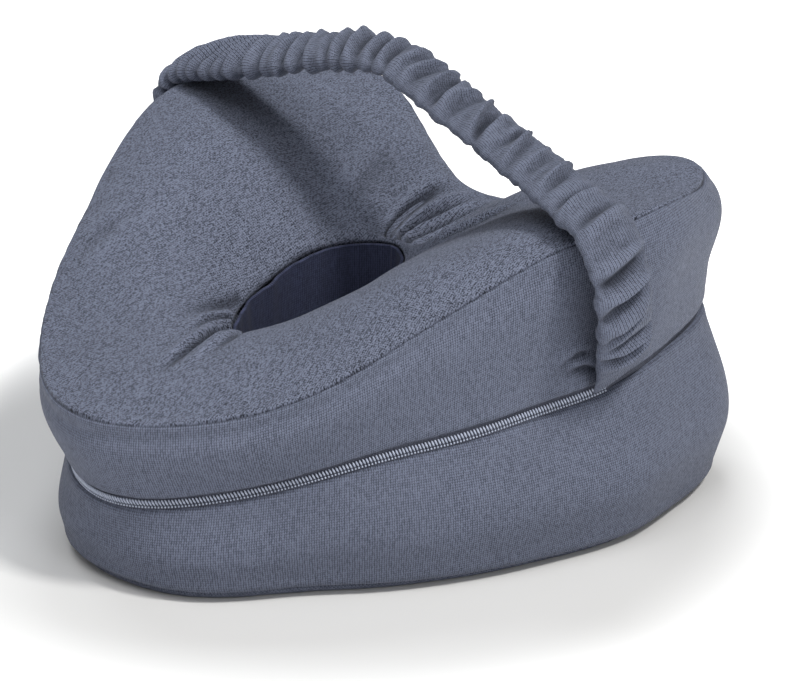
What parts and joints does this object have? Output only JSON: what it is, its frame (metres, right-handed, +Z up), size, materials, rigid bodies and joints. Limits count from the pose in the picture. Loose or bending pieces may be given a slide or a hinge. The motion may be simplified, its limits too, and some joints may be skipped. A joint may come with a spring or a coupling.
{
  "type": "knee pillow",
  "caption": "Heart-shaped filled knee pillow with a leg valley between two raised wings, an oval vent hole, a zip round its knit cover and a ruched elastic leg strap.",
  "frame": {"origin": "on the floor, below the middle of the object's box", "axes": "+X to the right wing seen from the nose, -Y towards the nose, +Y towards the heart's notch, +Z up"},
  "size_m": [0.261, 0.2463, 0.1654],
  "materials": {
    "knit": "matt slate-blue melange knit",
    "lining": "matt dark slate-blue knit",
    "tape": "woven zip tape",
    "coil": "semi-matt nylon coil",
    "strap": "matt slate-blue ribbed knit"
  },
  "bodies": {
    "root": {"cushion_body": "knit", "vent_lining": "lining", "top_panel": "knit", "upper_band": "knit", "zip_tape": "tape", "zip_coil": "coil", "lower_band": "knit", "base_panel": "knit", "leg_strap": "strap"}
  },
  "joints": []
}
